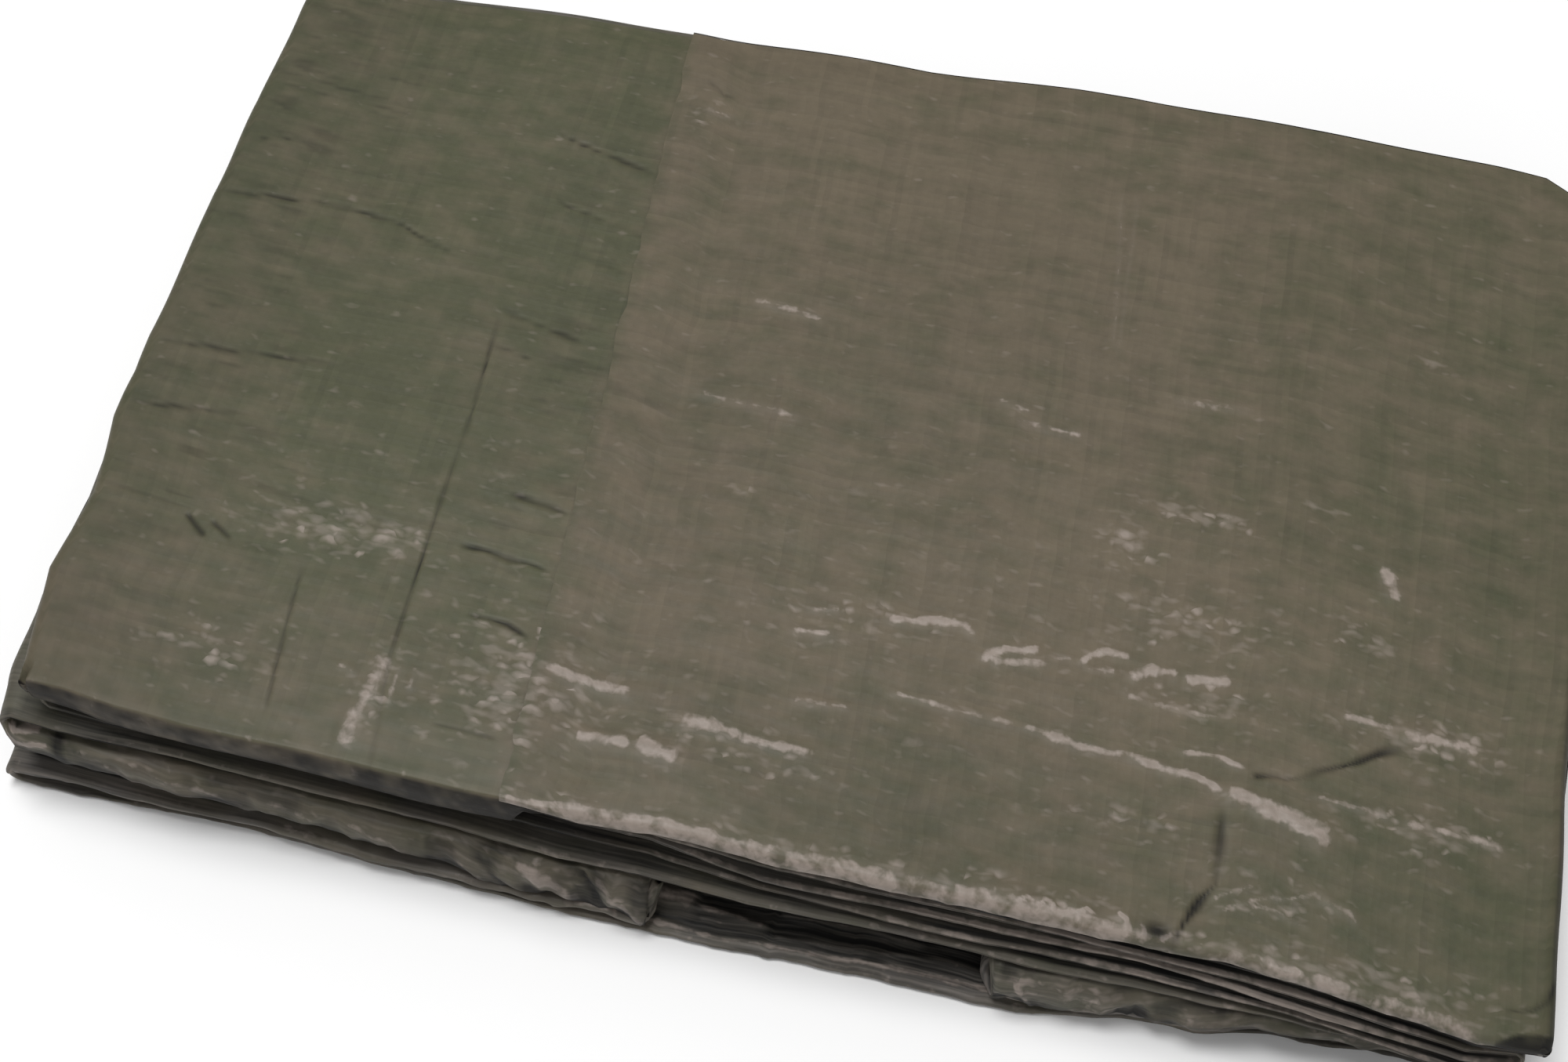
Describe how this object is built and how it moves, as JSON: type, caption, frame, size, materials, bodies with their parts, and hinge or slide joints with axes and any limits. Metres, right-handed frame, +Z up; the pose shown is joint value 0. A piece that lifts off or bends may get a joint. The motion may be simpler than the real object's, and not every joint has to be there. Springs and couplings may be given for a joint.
{
  "type": "folded tarp",
  "caption": "Flat folded tarp of woven plastic cloth: one sheet laid back and forth, its ends turned in under the bundle as flaps with a gap between them.",
  "frame": {"origin": "on the ground, under the middle of the bundle's outline", "axes": "+X along the bundle's long side, +Y from its front edge to its back, +Z up"},
  "size_m": [0.4206, 0.285, 0.0535],
  "materials": {
    "woven_plastic": "woven plastic tape cloth, coated on both sides, with a soft sheen, brown grey on one face and olive green on the other"
  },
  "bodies": {
    "root": {"tarp_cloth": "woven_plastic"}
  },
  "joints": []
}
